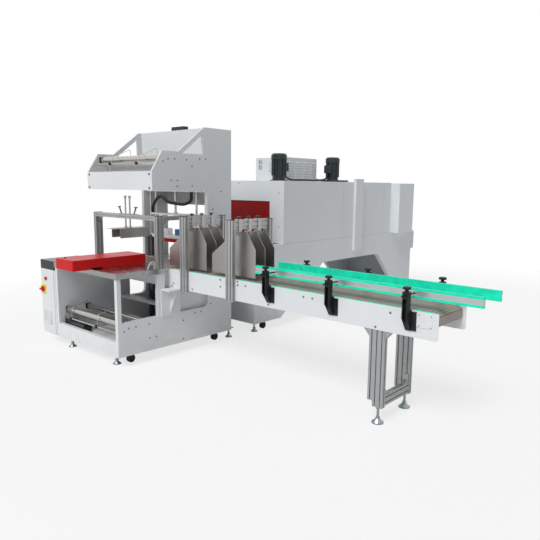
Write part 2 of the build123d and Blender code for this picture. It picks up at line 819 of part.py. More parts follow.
def conveyor_frame():
    """Two side plates with rounded ends, tied by cross angles, with a bare end cover."""
    parts = []
    for x in (conv_x0, conv_x1 - conv_t):
        plate = slab(x, x + conv_t, conv_y0, conv_y1, conv_z0, belt_z)
        low = plate.edges().filter_by(Axis.X).group_by(Axis.Z)[0]
        parts.append(fillet(low, conv_corner_r))
    y = conv_y0 + tie_first
    while y < conv_y1:
        parts.append(slab(conv_x0 + conv_t, conv_x1 - conv_t, y, y + tie_wid, conv_z0, conv_z0 + 2 * conv_t))
        y += tie_pitch
    return fuse(parts + [cover_plate()])


def side_rail(x, s):
    """Aluminium core of one guide rail and the green sliding profile clipped round it."""
    z0, z1 = rail_z0, rail_z0 + rail_ht
    c0 = z0 + (rail_ht - rail_core_ht) / 2
    c1 = c0 + rail_core_ht
    groove = rail_core_ht / 5
    core = [(0, c0), (rail_core_t, c0), (rail_core_t, c1), (0, c1)]
    for n in (3, 1):
        z = c0 + n * groove
        core += [(0, z + groove), (groove / 2, z + groove), (groove / 2, z), (0, z)]
    strip = [(0, z0), (rail_t, z0), (rail_t, z1), (0, z1)]
    strip += [(0, c1), (rail_core_t, c1), (rail_core_t, c0), (0, c0)]
    out = []
    for outline in (core, strip):
        face = make_face(Polyline(*[(x + s * d, 0, z) for d, z in outline], close=True))
        out.append(Pos(0, rail_y0, 0) * extrude(face, amount=rail_y1 - rail_y0, dir=(0, 1, 0)))
    return out


def star_knob(x, y, z, r):
    """A waisted hand knob on a short stem."""
    stem = prism_z(x, y, z, z + r * 0.6, r * 0.45, 6)
    return stem + prism_z(x, y, z + r * 0.6, z + r * 1.15, r, 10, 8)


def rail_bracket(x, s, y):
    """Black channel bracket on the side plate, its cross rod to the rail, and its knob."""
    top = bracket_top
    inner = bracket_out - bracket_head
    outline = [(0, bracket_z0 + 8), (8, bracket_z0), (bracket_out, bracket_z0 + 88), (bracket_out, top)]
    outline += [(inner, top), (inner, belt_z + 12), (0, belt_z - 10)]
    half = bracket_t / 2
    body = plate_xz([(x - s * d, z) for d, z in outline], y - half, y + half)
    deep = sorted((x - s * (inner + 14), x - s * (bracket_out + 1)))
    body = body - slab(deep[0], deep[1], y - half + 8, y + half - 8, bracket_z0 + 60, top - 50)
    base = sorted((x, x - s * 10))
    body = body + slab(base[0], base[1], y - half - 35, y - half, bracket_z0 + 4, belt_z - 10)
    ends = sorted((x - s * (bracket_out + rod_out), x + s * rail_in))
    rod = prism_x(ends[0], ends[1], y, rod_z_at, rod_r, 8)
    mid = x - s * (inner + bracket_head / 2)
    return fuse([body, rod, star_knob(mid, y, top, knob_r)])


def leg_portal():
    """Two outer legs of slotted profile with gussets, and a cross member between their feet."""
    half = prof / 2
    parts = []
    xs = [conv_x0 + conv_t + half, conv_x1 - conv_t - half]
    y0, y1 = leg_y - prof, leg_y + 2 * prof
    for x in xs:
        parts.append(profile_z(x, leg_y, leg_z0, conv_z0, prof, 2 * prof))
        parts.append(profile_z(x, leg_y + prof + half, leg_z0 + leg_rear_up, conv_z0, prof, prof))
        low = conv_z0 - gusset_ht
        for y, s in ((y0, -1), (y1, 1)):
            corner = [(y, low), (y, conv_z0), (y + s * gusset_len, conv_z0)]
            parts.append(plate_yz(corner, x - half + conv_t, x + half - conv_t))
    z = leg_cross_z + prof
    parts.append(profile_x(xs[0] + half, xs[1] - half, y0 + half, z, prof, 2 * prof))
    parts.append(web_xz(xs[0] + half, z + prof, 1, 1, y0 + half))
    parts.append(web_xz(xs[1] - half, z + prof, -1, 1, y0 + half))
    return fuse(parts)


def build_conveyor():
    """The infeed conveyor with its belt, guide rails, brackets and outer legs."""
    y0, y1 = conv_y0, conv_y1
    keep("conveyor_frame", conveyor_frame())
    r_out = belt_roll_r + belt_t
    length = y1 - y0 - 2 * belt_end_gap
    zc = belt_z - belt_drop - r_out
    section = Plane.YZ * Pos((y0 + y1) / 2, zc) * belt_loop(length, r_out, belt_roll_r, link_pitch)
    keep("infeed_belt", Pos(belt_x0, 0, 0) * extrude(section, amount=belt_x1 - belt_x0))
    for y in (y0 + belt_end_gap + r_out, y1 - belt_end_gap - r_out):
        keep("belt_drums", shaft_drum(belt_x0, belt_x1, y, zc, conv_x0 + conv_t, conv_x1 - conv_t))
    for x in (conv_x0, conv_x1 - conv_t):
        keep("green_strips", slab(x, x + conv_t, y0 + conv_corner_r, -rail_in, belt_z, belt_z + strip_ht))
    for x, s in ((conv_x0 + rail_in, 1), (conv_x1 - rail_in, -1)):
        core, strip = side_rail(x, s)
        keep("guide_rails", core)
        keep("green_strips", strip)
    for x, s in ((conv_x0, 1), (conv_x1, -1)):
        for y in bracket_y:
            keep("rail_brackets", rail_bracket(x, s, y) - cover_plate())
    keep("leg_portal", leg_portal())
    x0, x1 = mid_post_x0 + 30, mid_post_x0 + 256
    top = conv_z0 - 2
    shelf = slab(x0, x1, -130, 0, top - 13, top)
    back = slab(x0, x1, -12, 0, top - 267, top - 13)
    rib = plate_yz([(-12, top - 240), (-12, top - 13), (-120, top - 13)], x0 + 100, x0 + 108)
    keep("conveyor_bracket", fuse([shelf, back, rib]))


def lane_plate(x, y):
    """One hanging lane plate with its clamp round the beam."""
    z0 = belt_z + lane_gap
    outline = [(y - lane_out, z0), (y - lane_out, lane_shoulder_out), (y + lane_flat[0], lane_plate_top)]
    outline += [(y + lane_flat[1], lane_plate_top), (y + lane_in, lane_shoulder_in), (y + lane_in, z0)]
    plate = plate_yz(outline, x, x + lane_plate_t)
    x1 = x + lane_plate_t
    half = prof / 2
    low = lane_post_top - 2 * prof
    tab = slab(x1, x1 + clamp_t, y - half - clamp_t, y + half + clamp_t, lane_plate_top - 35, low - clamp_t)
    cx = x1 + clamp_t / 2
    a, b = cx - clamp_plate_wid / 2, cx + clamp_plate_wid / 2
    z1 = lane_post_top + clamp_t
    parts = [plate, tab]
    for ya in (y - half - clamp_t, y + half):
        parts.append(slab(a, b, ya, ya + clamp_t, lane_plate_top + 2, z1))
    parts.append(slab(a, b, y - half - clamp_t, y + half + clamp_t, lane_post_top, z1))
    return fuse(parts)


def build_lanes():
    """Two gantries over the belt, each with three hanging stainless plates."""
    z0 = conv_z0 - lane_post_drop
    half = prof / 2
    knob_z = lane_post_top + clamp_t
    under = lane_post_top - 2 * prof
    for y in lane_y:
        parts = [profile_z(conv_x0 - half, y, z0, lane_post_top, prof, 2 * prof)]
        parts.append(profile_z(conv_x1 + half, y, z0, lane_post_top, prof, 2 * prof))
        parts.append(profile_x(conv_x0, conv_x1, y, lane_post_top - prof, prof, 2 * prof))
        parts.append(web_xz(conv_x0, under, 1, -1, y))
        parts.append(web_xz(conv_x1, under, -1, -1, y))
        keep("lane_gantries", fuse(parts))
        for x in lane_x:
            keep("lane_plates", lane_plate(x, y))
            cx = x + lane_plate_t + clamp_t / 2
            keep("hand_clamps", star_knob(cx, y, knob_z, knob_r * 0.7))


# Feet and casters
def foot(x, y, top, r):
    """Levelling foot: flared disc and stem."""
    disc = prism_z(x, y, 0, 8, r, 12)
    cone = prism_z(x, y, 8, foot_ht, r * 0.86, 12, 40)
    return fuse([disc, cone, prism_z(x, y, foot_ht - 4, top, stem_r, 8)])


def caster(x, y):
    """Parked swivel caster: wheel in its hooded fork under a top plate."""
    z = wheel_r + 10
    cheek = wheel_t / 2 + 1
    wheel = prism_y(x, y - cheek, y + cheek, z, wheel_r, 16)
    plate = slab(x - 26, x + 26, y - 30, y + 30, base_z0 - 8, base_z0)
    outline = [(x - 12, z - 12), (x + 12, z - 12), (x + 20, base_z0 - 8), (x - 20, base_z0 - 8)]
    return fuse([wheel, plate, plate_xz(outline, y - cheek - 5, y + cheek + 5)])


def build_feet():
    """Levelling feet of the whole line and the parked casters beside them."""
    for y in (foot_y_in, base_wid - foot_y_in):
        keep("levelling_feet", foot(foot_x_in, y, base_z0, foot_r))
    for y in (wheel_y_in, base_wid - wheel_y_in):
        keep("levelling_feet", foot(base_len + rear_ledge / 2, y, base_z0, foot_r))
        keep("casters", caster(wheel_x_in, y))
        keep("casters", caster(base_len - wheel_x_in, y))
    x0, x1 = deck_x0 + foot_in, deck_x1 - rear_ped_heel - foot_in
    for y in (tun_y0 + foot_in, tun_y0 + tun_wid - foot_in):
        keep("levelling_feet", foot(x0, y, ped_z0, foot_r))
        keep("levelling_feet", foot(x1, y, ped_z0, foot_r))
        keep("casters", caster(x0 + wheel_from_foot, y))
        keep("casters", caster(x1 - wheel_from_foot, y))
    for x in (conv_x0 + conv_t + prof / 2, conv_x1 - conv_t - prof / 2):
        keep("levelling_feet", foot(x, leg_y, leg_z0, foot_r * 1.15))


# Shrink tunnel
def fin_ring():
    """Cross-section of a motor body: cooling fins round a core."""
    outline = []
    step = 2 * math.pi / fan_fins
    for n in range(fan_fins):
        for share, r in ((0.0, fan_root_r), (0.42, fan_root_r), (0.5, fan_r), (0.92, fan_r)):
            a = (n + share) * step
            outline.append((r * math.cos(a), r * math.sin(a)))
    return make_face(Polyline(*outline, close=True))


def fan_motor(x, y, s):
    """Upright fan motor: flange, neck, finned body, cowl, and a terminal box on one side."""
    z0 = tun_top + 12
    z1 = z0 + fan_neck_ht
    z2 = z1 + fan_body_ht
    z3 = z2 + fan_cowl_ht
    parts = [prism_z(x, y, tun_top, z0, fan_r + 14, 16)]
    parts.append(prism_z(x, y, z0, z1, fan_root_r, 16))
    parts.append(Pos(x, y, z1) * extrude(fin_ring(), amount=fan_body_ht))
    parts.append(prism_z(x, y, z2, z3 - 20, fan_r + 4, 24))
    parts.append(prism_z(x, y, z3 - 20, z3, fan_r + 4, 24, 40))
    near, far = sorted((x + s * (fan_root_r - 5), x + s * (fan_r + 36)))
    parts.append(slab(near, far, y - box_side * 0.75, y + box_side * 0.75, z1 + 50, z1 + 150))
    return fuse(parts)


def tube(points, r):
    """A hose through the given points, its corners rounded by the largest arcs that fit."""
    pts = [Vector(*p) for p in points]
    runs = [b - a for a, b in zip(pts, pts[1:])]
    radii = []
    for a, b in zip(runs, runs[1:]):
        turn = math.radians(a.get_angle(b))
        radii.append(0.45 * min(a.length, b.length) / math.tan(turn / 2))
    path = FilletPolyline(*pts, radius=radii)
    section = Plane(path @ 0, z_dir=path % 0) * RegularPolygon(r, hose_sides)
    solid = sweep(section, path=path)
    share = solid.volume / (section.area * path.length)
    print("hose", round(path.length), "mm, volume share", round(share, 4), "radii", [round(q) for q in radii])
    return solid


def build_hoses():
    """Motor conduits on the tunnel roof and the hose bundle at the sealing head."""
    z = tun_top + hose_r + 1
    zt = tun_top + 12 + fan_neck_ht + 50
    xa = fan_x[0] + fan_r + 20
    xb = fan_x[1] - fan_r - 20
    ctrl = ctrl_x0 + ctrl_len
    low = fan_y - fan_r - 50
    keep("hoses", tube([(xa, fan_y, zt), (xa, fan_y, zt - 60), (xa + 60, fan_y - 40, z),
                        (xa + 190, low, z + 1), (xa + 420, low - 12, z), (xa + 760, low + 2, z + 1),
                        (fan_x[1] - 20, low - 16, z), (fan_x[1] + 180, low - 4, z + 1),
                        (fan_x[1] + 235, fan_y - 25, z), (fan_x[1] + 190, fan_y + 90, z + 1),
                        (fan_x[1] - 20, fan_y + 150, z), (ctrl + 60, ctrl_y0 + 85, z + 25),
                        (ctrl, ctrl_y0 + 85, z + 25)], hose_r))
    keep("hoses", tube([(xb, fan_y, zt), (xb, fan_y, zt - 56), (xb - 14, fan_y + 45, z + 14),
                        (xb - 38, ctrl_y0 + 10, z + 10), (ctrl + 40, ctrl_y0 + 40, z + 10),
                        (ctrl, ctrl_y0 + 40, z + 10)], hose_r))
    x = seal_x0 + 5
    ya, yb = seal_mid - guide_half + 34, seal_mid + guide_half + 10
    plate = cross_z0 + cross_t
    keep("hoses", tube([(x, ya, head_z0 - cross_t), (x, ya, head_z0 - 120), (x - 6, ya + 110, plate + 100),
                        (x - 4, ya + 250, plate + 108), (x - 6, ya + 390, plate + 120),
                        (x - 2, ya + 500, plate + 190), (x, ya + 590, plate + 150),
                        (x, yb, plate + 70), (x, yb, plate + 0.3)], bundle_r))


def build_tunnel():
    """Insulated chamber, exit hood, curtains, deck, belt and pedestals."""
    y0, y1 = tun_y0, tun_y0 + tun_wid
    p0, p1 = pass_y0, pass_y1
    body = slab(tun_x0, tun_x1, y0, y1, tun_z0, tun_top)
    keep("tunnel_chamber", body - slab(tun_x0 - 1, tun_x1 + 1, p0, p1, tun_z0 - 1, pass_z1))
    hood = slab(tun_x1, hood_x1, y0 - hood_over, y1 + hood_over, tun_z0, hood_top)
    keep("tunnel_hood", hood - slab(tun_x1 - 1, hood_x1 + 1, p0, p1, tun_z0 - 1, pass_z1))
    for x in (tun_x0 + 12, hood_x1 - 15):
        keep("tunnel_curtains", slab(x, x + curtain_t, p0 + 4, p1 - 4, belt_z + 12, pass_z1))
    parts = []
    for ya, yb in ((y0, y0 + deck_t), (y1 - deck_t, y1)):
        beam = slab(deck_x0, deck_x1, ya, yb, deck_z0, tun_z0)
        parts.append(fillet(beam.edges().filter_by(Axis.Y).group_by(Axis.X)[-1], deck_corner_r))
    i0, i1 = y0 + deck_t, y1 - deck_t
    for x in deck_tie_x:
        parts.append(slab(x, x + deck_tie, i0, i1, deck_z0, deck_z0 + prof))
    for x in (deck_x0, deck_x1 - end_angle):
        parts.append(slab(x, x + end_angle, i0, i1, deck_z0, belt_z - bridge_lip))
    for ya, yb in ((i0, p0 - 5), (p1 + 5, i1)):
        parts.append(slab(deck_x0 + 100, deck_x1 - 100, ya, yb, belt_z - sheet_t, belt_z))
    keep("tunnel_deck", fuse(parts))
    r = drum_r + tunnel_belt_t
    zc = belt_z - r
    length = deck_x1 - deck_x0 - 2 * drum_end_gap
    face = Pos((deck_x0 + deck_x1) / 2, zc) * (SlotOverall(length, 2 * r) - SlotOverall(length - 2 * tunnel_belt_t, 2 * drum_r))
    keep("tunnel_belt", Pos(0, p0 + 2, 0) * extrude(Plane.XZ * face, amount=4 - pass_wid))
    for x in (deck_x0 + drum_end_gap + r, deck_x1 - drum_end_gap - r):
        keep("belt_drums", prism_y(x, p0 + 2, p1 - 2, zc, drum_r, 24) + prism_y(x, i0, i1, zc, 15, 12))
    pedestals(y0, y1)


def pedestals(y0, y1):
    """Two pedestals under the deck, folded boxes whose slanted sides are open towards each other."""
    toe = deck_x0 + front_ped_toe
    front = [(deck_x0, ped_z0), (toe, ped_z0), (toe + front_ped_slope, deck_z0), (deck_x0, deck_z0)]
    heel = deck_x1 - rear_ped_heel
    a = heel - rear_ped_toe
    rear = [(a - rear_ped_slope, deck_z0), (a, ped_z0), (heel, ped_z0), (heel, deck_z0)]
    w = ped_wall
    z0, z1 = ped_z0 + w, deck_z0 - ped_roof
    inner = [(deck_x0 + w, z0), (toe + w, z0), (toe + front_ped_slope, z1), (deck_x0 + w, z1)]
    body = plate_xz(front, y0, y1) - plate_xz([(x + (x > toe) * w, z) for x, z in inner], y0 + w, y1 - w)
    back = [(a - rear_ped_slope - w, z1), (a - 2 * w, z0), (heel - w, z0), (heel - w, z1)]
    keep("tunnel_pedestals", [body, plate_xz(rear, y0, y1) - plate_xz(back, y0 + w, y1 - w)])


def build_tunnel_top():
    """Side duct, control box with louvres and instruments, and the two fan motors."""
    y0 = tun_y0
    keep("tunnel_boxes", slab(duct_x0, duct_x0 + duct_len, y0 - duct_out, y0, duct_z0, duct_top))
    x0, x1 = ctrl_x0, ctrl_x0 + ctrl_len
    parts = [slab(x0, x1, ctrl_y0, ctrl_y0 + ctrl_wid, tun_top, tun_top + ctrl_ht)]
    step_x = ctrl_len / louvre_cols
    step_z = (ctrl_ht - 70) / louvre_rows
    for i in range(louvre_cols):
        for k in range(louvre_rows):
            xa = x0 + (i + 0.5) * step_x - louvre_len / 2
            z = tun_top + 40 + k * step_z
            fin = [(ctrl_y0, z), (ctrl_y0 - louvre_out, z), (ctrl_y0, z + louvre_ht)]
            parts.append(plate_yz(fin, xa, xa + louvre_len))
    keep("tunnel_boxes", fuse(parts))
    top = tun_top + ctrl_ht
    ya = ctrl_y0 + ctrl_wid - 60
    for n in (1, 2):
        z = top - n * (dial + 22)
        keep("cabinet_fittings", slab(x0 - 8, x0, ya - dial, ya, z, z + dial))
    z = top - 170
    keep("cabinet_fittings", slab(x0 - 6, x0, ctrl_y0 + 150, ctrl_y0 + 280, z, z + 120))
    keep("fan_motors", fan_motor(fan_x[0], fan_y, 1))
    keep("fan_motors", fan_motor(fan_x[1], fan_y, -1))


build_wrapper()
build_head()
build_press()
build_seal_station()
build_bridges()
build_cabinet()
build_conveyor()
build_lanes()
build_feet()
build_tunnel()
build_tunnel_top()
build_hoses()

# Move the line so that its origin lies under its middle
box = Compound([s for solids in pieces.values() for s in solids]).bounding_box()
shift = (-(box.min.X + box.max.X) / 2, -(box.min.Y + box.max.Y) / 2, -box.min.Z)

os.makedirs("parts", exist_ok=True)
for name, solids in pieces.items():
    moved = [Pos(*shift) * s for s in solids]
    export_step(Compound(moved) if len(moved) > 1 else moved[0], "parts/" + name + ".step")
print("nodes", len(pieces), "size", round(box.size.X), round(box.size.Y), round(box.size.Z), "shift", shift)
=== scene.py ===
import bpy
import math
import numpy as np
from mathutils import Matrix, Vector


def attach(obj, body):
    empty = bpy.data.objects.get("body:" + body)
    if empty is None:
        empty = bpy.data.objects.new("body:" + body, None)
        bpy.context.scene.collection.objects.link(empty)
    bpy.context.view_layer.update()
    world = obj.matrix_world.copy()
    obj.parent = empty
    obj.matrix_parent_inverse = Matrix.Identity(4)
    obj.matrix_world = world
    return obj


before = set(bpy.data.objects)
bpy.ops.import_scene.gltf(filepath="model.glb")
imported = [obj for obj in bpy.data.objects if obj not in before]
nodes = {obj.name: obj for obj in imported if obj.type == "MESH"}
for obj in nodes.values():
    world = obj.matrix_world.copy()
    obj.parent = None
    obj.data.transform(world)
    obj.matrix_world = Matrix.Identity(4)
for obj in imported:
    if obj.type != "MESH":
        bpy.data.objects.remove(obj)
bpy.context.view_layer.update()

# The drawing's origin, under the wrapping machine's near front corner, in the frame's metres
DRAWING = np.array([-2.5945, 0.780, 0.0])


def place(points):
    """Drawing millimetres to frame metres."""
    return DRAWING + np.asarray(points, float) / 1000.0


# Camera: the photograph's view, fitted to the line's corners
def make_camera():
    data = bpy.data.cameras.new("view")
    data.lens = 36.83
    data.sensor_width = 36
    data.clip_end = 100
    yaw, pitch, roll = math.radians(41.8), math.radians(-8.7), math.radians(0.6)
    forward = Vector((math.cos(yaw) * math.cos(pitch), math.sin(yaw) * math.cos(pitch), math.sin(pitch)))
    right = Vector((math.sin(yaw), -math.cos(yaw), 0))
    up = right.cross(forward)
    right_rolled = math.cos(roll) * right + math.sin(roll) * up
    up_rolled = -math.sin(roll) * right + math.cos(roll) * up
    cam = bpy.data.objects.new("view", data)
    cam.matrix_world = Matrix((right_rolled, up_rolled, -forward)).transposed().to_4x4()
    cam.matrix_world.translation = Vector((-5.2402, -3.3804, 1.6388))
    bpy.context.scene.collection.objects.link(cam)
    bpy.context.scene.camera = cam


# Node helpers
def link(tree, a, b):
    tree.links.new(a, b)


def math_node(tree, kind, a, b=None, clamp=False):
    n = tree.nodes.new("ShaderNodeMath")
    n.operation = kind
    n.use_clamp = clamp
    for socket, v in zip(n.inputs, (a, b)):
        if v is None:
            continue
        if isinstance(v, (int, float)):
            socket.default_value = v
        else:
            link(tree, v, socket)
    return n.outputs[0]


def noise_node(tree, vector, scale, detail=3.0, rough=0.55):
    n = tree.nodes.new("ShaderNodeTexNoise")
    n.inputs["Scale"].default_value = scale
    n.inputs["Detail"].default_value = detail
    n.inputs["Roughness"].default_value = rough
    link(tree, vector, n.inputs["Vector"])
    return n.outputs["Fac"]


def ramp_node(tree, value, low, high, to_low=0.0, to_high=1.0):
    n = tree.nodes.new("ShaderNodeMapRange")
    n.interpolation_type = "SMOOTHSTEP"
    link(tree, value, n.inputs["Value"])
    for name, v in (("From Min", low), ("From Max", high), ("To Min", to_low), ("To Max", to_high)):
        n.inputs[name].default_value = v
    return n.outputs["Result"]


def mix_colour(tree, fac, a, b, kind="MIX"):
    n = tree.nodes.new("ShaderNodeMix")
    n.data_type = "RGBA"
    n.blend_type = kind
    for socket, v in ((n.inputs[0], fac), (n.inputs[6], a), (n.inputs[7], b)):
        if isinstance(v, (int, float)):
            socket.default_value = v
        elif isinstance(v, tuple):
            socket.default_value = (*v, 1.0)
        else:
            link(tree, v, socket)
    return n.outputs[2]


def group(name, inputs, outputs):
    """An empty shader node group with named colour and value sockets."""
    tree = bpy.data.node_groups.new(name, "ShaderNodeTree")
    for label, kind, value in inputs:
        s = tree.interface.new_socket(label, in_out="INPUT", socket_type=kind)
        s.default_value = value
    for label, kind in outputs:
        tree.interface.new_socket(label, in_out="OUTPUT", socket_type=kind)
    return tree, tree.nodes.new("NodeGroupInput").outputs, tree.nodes.new("NodeGroupOutput").inputs


COLOUR, VALUE, VECTOR = "NodeSocketColor", "NodeSocketFloat", "NodeSocketVector"


def coords(tree):
    return tree.nodes.new("ShaderNodeTexCoord").outputs["Object"]


def powder_coat_group():
    """Sheet steel paint: fine orange peel, faint cloudy tone, wiped smudges, and dust that gathers low down."""
    tree, given, out = group("powder_coat",
                             [("Paint", COLOUR, (0.8, 0.8, 0.8, 1)), ("Dust", VALUE, 0.25), ("Sheen", VALUE, 0.42)],
                             [("Colour", COLOUR), ("Roughness", VALUE), ("Height", VALUE)])
    p = coords(tree)
    cloud = noise_node(tree, p, 1.7, 4, 0.6)
    smear = noise_node(tree, p, 9.0, 6, 0.7)
    peel = noise_node(tree, p, 620.0, 2, 0.5)
    tone = mix_colour(tree, ramp_node(tree, cloud, 0.3, 0.7, 0.0, 1.0), (0.955, 0.96, 0.965), (1.0, 1.0, 1.0))
    paint = mix_colour(tree, 1.0, given["Paint"], tone, "MULTIPLY")
    xyz = tree.nodes.new("ShaderNodeSeparateXYZ")
    link(tree, p, xyz.inputs[0])
    low = ramp_node(tree, xyz.outputs["Z"], 0.08, 0.34, 1.0, 0.0)
    patchy = math_node(tree, "MULTIPLY", low, ramp_node(tree, smear, 0.35, 0.7))
    dusty = math_node(tree, "MULTIPLY", patchy, given["Dust"], True)
    link(tree, mix_colour(tree, dusty, paint, (0.42, 0.39, 0.35)), out["Colour"])
    rough = math_node(tree, "ADD", given["Sheen"], ramp_node(tree, smear, 0.3, 0.75, -0.05, 0.09))
    link(tree, math_node(tree, "ADD", rough, math_node(tree, "MULTIPLY", dusty, 0.3)), out["Roughness"])
    link(tree, peel, out["Height"])
    return tree


def rolled_metal_group():
    """Brushed or drawn metal: long fine lines along the given stretch, with cloudy handling marks."""
    tree, given, out = group("rolled_metal",
                             [("Metal", COLOUR, (0.6, 0.6, 0.6, 1)), ("Stretch", VECTOR, (1, 1, 1)),
                              ("Sheen", VALUE, 0.3), ("Contrast", VALUE, 0.3)],
                             [("Colour", COLOUR), ("Roughness", VALUE), ("Height", VALUE)])
    p = coords(tree)
    scaled = tree.nodes.new("ShaderNodeVectorMath")
    scaled.operation = "MULTIPLY"
    link(tree, p, scaled.inputs[0])
    link(tree, given["Stretch"], scaled.inputs[1])
    lines = noise_node(tree, scaled.outputs[0], 1.0, 3, 0.6)
    marks = noise_node(tree, p, 7.0, 5, 0.65)
    shade = ramp_node(tree, lines, 0.25, 0.75, 0.0, 1.0)
    dim = mix_colour(tree, math_node(tree, "MULTIPLY", shade, given["Contrast"]), (1.0, 1.0, 1.0), (0.62, 0.61, 0.60))
    worn = mix_colour(tree, ramp_node(tree, marks, 0.35, 0.75, 0.0, 0.35), (1.0, 1.0, 1.0), (0.78, 0.76, 0.74))
    base = mix_colour(tree, 1.0, given["Metal"], dim, "MULTIPLY")
    link(tree, mix_colour(tree, 1.0, base, worn, "MULTIPLY"), out["Colour"])
    rough = math_node(tree, "ADD", given["Sheen"], ramp_node(tree, marks, 0.3, 0.8, -0.04, 0.10))
    link(tree, math_node(tree, "ADD", rough, math_node(tree, "MULTIPLY", shade, 0.06)), out["Roughness"])
    link(tree, lines, out["Height"])
    return tree


def moulded_group():
    """Moulded plastic or rubber: spark-eroded grain, faint flow tone and dust."""
    tree, given, out = group("moulded",
                             [("Resin", COLOUR, (0.1, 0.1, 0.1, 1)), ("Grain", VALUE, 700.0), ("Sheen", VALUE, 0.45),
                              ("Dust", VALUE, 0.1)],
                             [("Colour", COLOUR), ("Roughness", VALUE), ("Height", VALUE)])
    p = coords(tree)
    grain = tree.nodes.new("ShaderNodeTexNoise")
    grain.inputs["Detail"].default_value = 2
    link(tree, p, grain.inputs["Vector"])
    link(tree, given["Grain"], grain.inputs["Scale"])
    flow = noise_node(tree, p, 14.0, 4, 0.6)
    tone = mix_colour(tree, ramp_node(tree, flow, 0.3, 0.7), (0.86, 0.86, 0.86), (1.08, 1.08, 1.08))
    resin = mix_colour(tree, 1.0, given["Resin"], tone, "MULTIPLY")
    dusty = math_node(tree, "MULTIPLY", ramp_node(tree, flow, 0.5, 0.8), given["Dust"])
    link(tree, mix_colour(tree, dusty, resin, (0.5, 0.48, 0.45)), out["Colour"])
    link(tree, math_node(tree, "ADD", given["Sheen"], ramp_node(tree, flow, 0.3, 0.8, -0.05, 0.1)), out["Roughness"])
    link(tree, grain.outputs["Fac"], out["Height"])
    return tree


def zone_group():
    """1 inside a box between two corners, and 0 outside it: used where one casting carries several finishes."""
    tree, given, out = group("zone", [("Low", VECTOR, (0, 0, 0)), ("High", VECTOR, (0, 0, 0))], [("Inside", VALUE)])
    p = tree.nodes.new("ShaderNodeSeparateXYZ")
    low = tree.nodes.new("ShaderNodeSeparateXYZ")
    high = tree.nodes.new("ShaderNodeSeparateXYZ")
    link(tree, coords(tree), p.inputs[0])
    link(tree, given["Low"], low.inputs[0])
    link(tree, given["High"], high.inputs[0])
    inside = None
    for axis in "XYZ":
        a = math_node(tree, "GREATER_THAN", p.outputs[axis], low.outputs[axis])
        b = math_node(tree, "LESS_THAN", p.outputs[axis], high.outputs[axis])
        both = math_node(tree, "MULTIPLY", a, b)
        inside = both if inside is None else math_node(tree, "MULTIPLY", inside, both)
    link(tree, inside, out["Inside"])
    return tree


POWDER, ROLLED, MOULDED, ZONE = powder_coat_group(), rolled_metal_group(), moulded_group(), zone_group()


def use(tree, made, **values):
    """Places a group with its own values, given by socket name."""
    n = tree.nodes.new("ShaderNodeGroup")
    n.node_tree = made
    for label, v in values.items():
        socket = n.inputs[label]
        if hasattr(v, "is_linked"):
            link(tree, v, socket)
        elif isinstance(v, tuple) and len(v) == 3 and socket.type == "RGBA":
            socket.default_value = (*v, 1.0)
        else:
            socket.default_value = v
    return n.outputs


def zone(tree, low, high):
    """Mask of a box given by two corners in drawing millimetres."""
    a, b = place(low), place(high)
    return use(tree, ZONE, Low=tuple(a), High=tuple(b))["Inside"]


def material(name):
    m = bpy.data.materials.new(name)
    m.use_nodes = True
    return m, m.node_tree, m.node_tree.nodes["Principled BSDF"]


def surface(tree, bsdf, look, metallic, bump, distance=0.0004):
    """Feeds a finish group's colour, roughness and height into the shader."""
    link(tree, look["Colour"], bsdf.inputs["Base Color"])
    link(tree, look["Roughness"], bsdf.inputs["Roughness"])
    bsdf.inputs["Metallic"].default_value = metallic
    n = tree.nodes.new("ShaderNodeBump")
    n.inputs["Strength"].default_value = bump
    n.inputs["Distance"].default_value = distance
    link(tree, look["Height"], n.inputs["Height"])
    link(tree, n.outputs[0], bsdf.inputs["Normal"])


def paint(name, colour, sheen=0.42, dust=0.25, gloss=0.3, bump=0.12):
    m, tree, bsdf = material(name)
    surface(tree, bsdf, use(tree, POWDER, Paint=colour, Dust=dust, Sheen=sheen), 0.0, bump)
    bsdf.inputs["Specular IOR Level"].default_value = gloss
    return m


def metal(name, colour, stretch, sheen=0.3, contrast=0.3, bump=0.1, metallic=1.0):
    m, tree, bsdf = material(name)
    look = use(tree, ROLLED, Metal=colour, Stretch=stretch, Sheen=sheen, Contrast=contrast)
    surface(tree, bsdf, look, metallic, bump, 0.0002)
    return m


def plastic(name, colour, grain=700.0, sheen=0.45, dust=0.1, bump=0.15, gloss=0.25):
    m, tree, bsdf = material(name)
    surface(tree, bsdf, use(tree, MOULDED, Resin=colour, Grain=grain, Sheen=sheen, Dust=dust), 0.0, bump, 0.0003)
    bsdf.inputs["Specular IOR Level"].default_value = gloss
    return m


def zoned(name, base, areas, sheen=0.4, metallic=0.0, grain=700.0):
    """A node that carries several finishes, told apart by boxes in drawing millimetres."""
    m, tree, bsdf = material(name)
    look = use(tree, MOULDED, Resin=base, Grain=grain, Sheen=sheen, Dust=0.06)
    colour, shine = look["Colour"], None
    for low, high, tint, metal_part in areas:
        mask = zone(tree, low, high)
        part = use(tree, MOULDED, Resin=tint, Grain=grain, Sheen=sheen, Dust=0.06)
        colour = mix_colour(tree, mask, colour, part["Colour"])
        weight = math_node(tree, "MULTIPLY", mask, metal_part)
        keep = 0.0 if shine is None else shine
        held = math_node(tree, "SUBTRACT", 1.0, mask)
        if shine is None:
            base_part = math_node(tree, "MULTIPLY", held, metallic)
        else:
            base_part = math_node(tree, "MULTIPLY", held, keep)
        shine = math_node(tree, "ADD", base_part, weight)
    surface(tree, bsdf, {"Colour": colour, "Roughness": look["Roughness"], "Height": look["Height"]}, metallic, 0.1)
    if shine is not None:
        link(tree, shine, bsdf.inputs["Metallic"])
    return m


